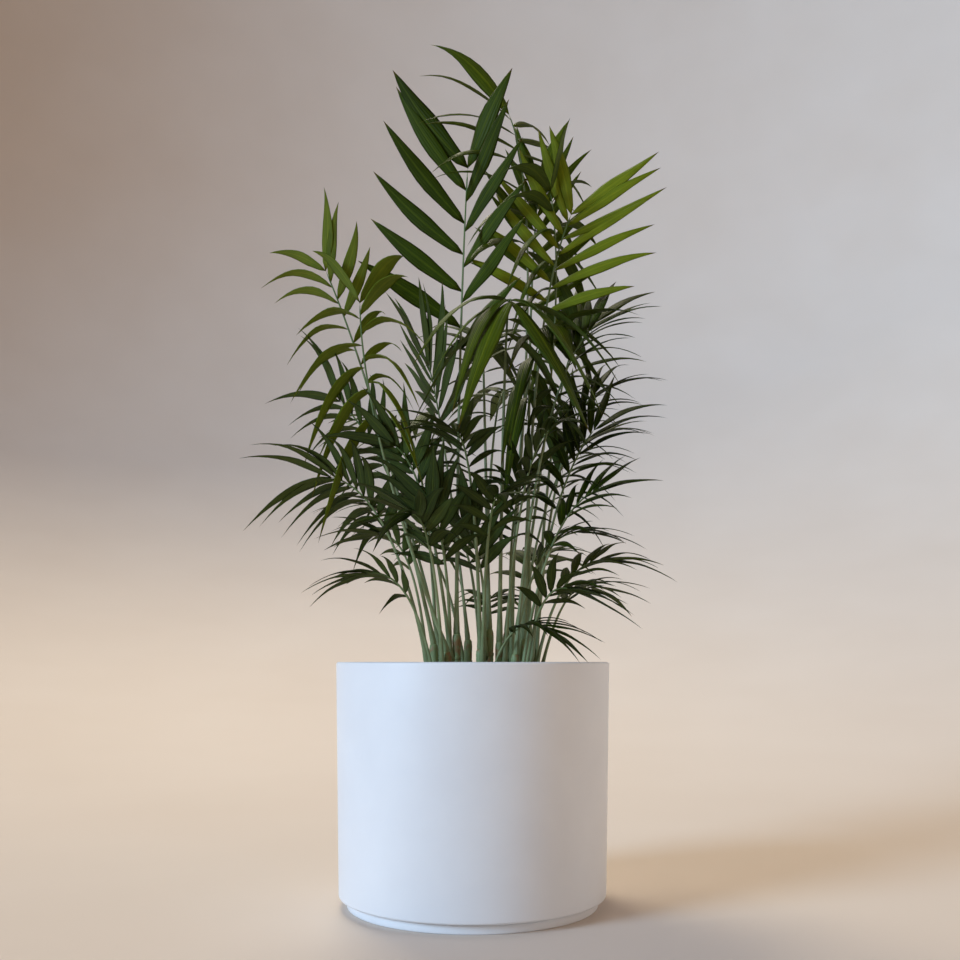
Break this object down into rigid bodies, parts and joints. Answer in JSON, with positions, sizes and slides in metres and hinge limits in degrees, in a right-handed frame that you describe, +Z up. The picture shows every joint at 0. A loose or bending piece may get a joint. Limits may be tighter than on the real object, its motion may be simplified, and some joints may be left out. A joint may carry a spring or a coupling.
{
  "type": "potted palm",
  "caption": "Clump of young feather-leaved palm seedlings in a plain matt white drum planter that stands on a shallow saucer.",
  "frame": {"origin": "middle of the saucer's flat underside, where the pot stands", "axes": "+Z up along the planter's axis, -Y towards the viewer of the plant's best side"},
  "size_m": [0.3629, 0.3346, 0.769],
  "materials": {
    "ceramic": "matt white glaze",
    "potting_soil": "loose damp potting mix with bark and perlite",
    "cane": "green ringed cane",
    "leaf_deep": "satin deep green leaf",
    "leaf_green": "satin mid green leaf",
    "leaf_lime": "satin lime green young leaf"
  },
  "bodies": {
    "root": {"saucer": "ceramic", "planter": "ceramic", "potting_soil": "potting_soil", "stem_01": "cane", "stem_02": "cane", "stem_03": "cane", "stem_04": "cane", "stem_05": "cane", "stem_06": "cane", "stem_07": "cane", "stem_08": "cane", "stem_09": "cane", "stem_10": "cane", "stem_11": "cane", "stem_12": "cane", "stem_13": "cane", "stem_14": "cane", "stem_15": "cane", "frond_01": "leaf_deep", "frond_02": "leaf_green", "frond_03": "leaf_lime", "frond_04": "leaf_green", "frond_05": "leaf_lime", "frond_06": "leaf_lime", "frond_07": "leaf_deep", "frond_08": "leaf_deep", "frond_09": "leaf_green", "frond_10": "leaf_deep", "frond_11": "leaf_deep", "frond_12": "leaf_deep", "frond_13": "leaf_deep", "frond_14": "leaf_deep", "frond_15": "leaf_green", "frond_16": "leaf_deep", "frond_17": "leaf_deep", "frond_18": "leaf_deep", "frond_19": "leaf_deep", "frond_20": "leaf_deep", "frond_21": "leaf_deep", "frond_22": "leaf_deep", "frond_23": "leaf_deep", "frond_24": "leaf_deep", "frond_25": "leaf_deep", "frond_26": "leaf_deep", "frond_27": "leaf_deep", "frond_28": "leaf_green", "frond_29": "leaf_deep", "frond_30": "leaf_deep", "frond_31": "leaf_deep", "frond_32": "leaf_deep", "frond_33": "leaf_deep", "frond_34": "leaf_deep", "frond_35": "leaf_deep", "frond_36": "leaf_deep", "frond_37": "leaf_deep", "frond_38": "leaf_green", "frond_39": "leaf_deep", "frond_40": "leaf_green"}
  },
  "joints": []
}
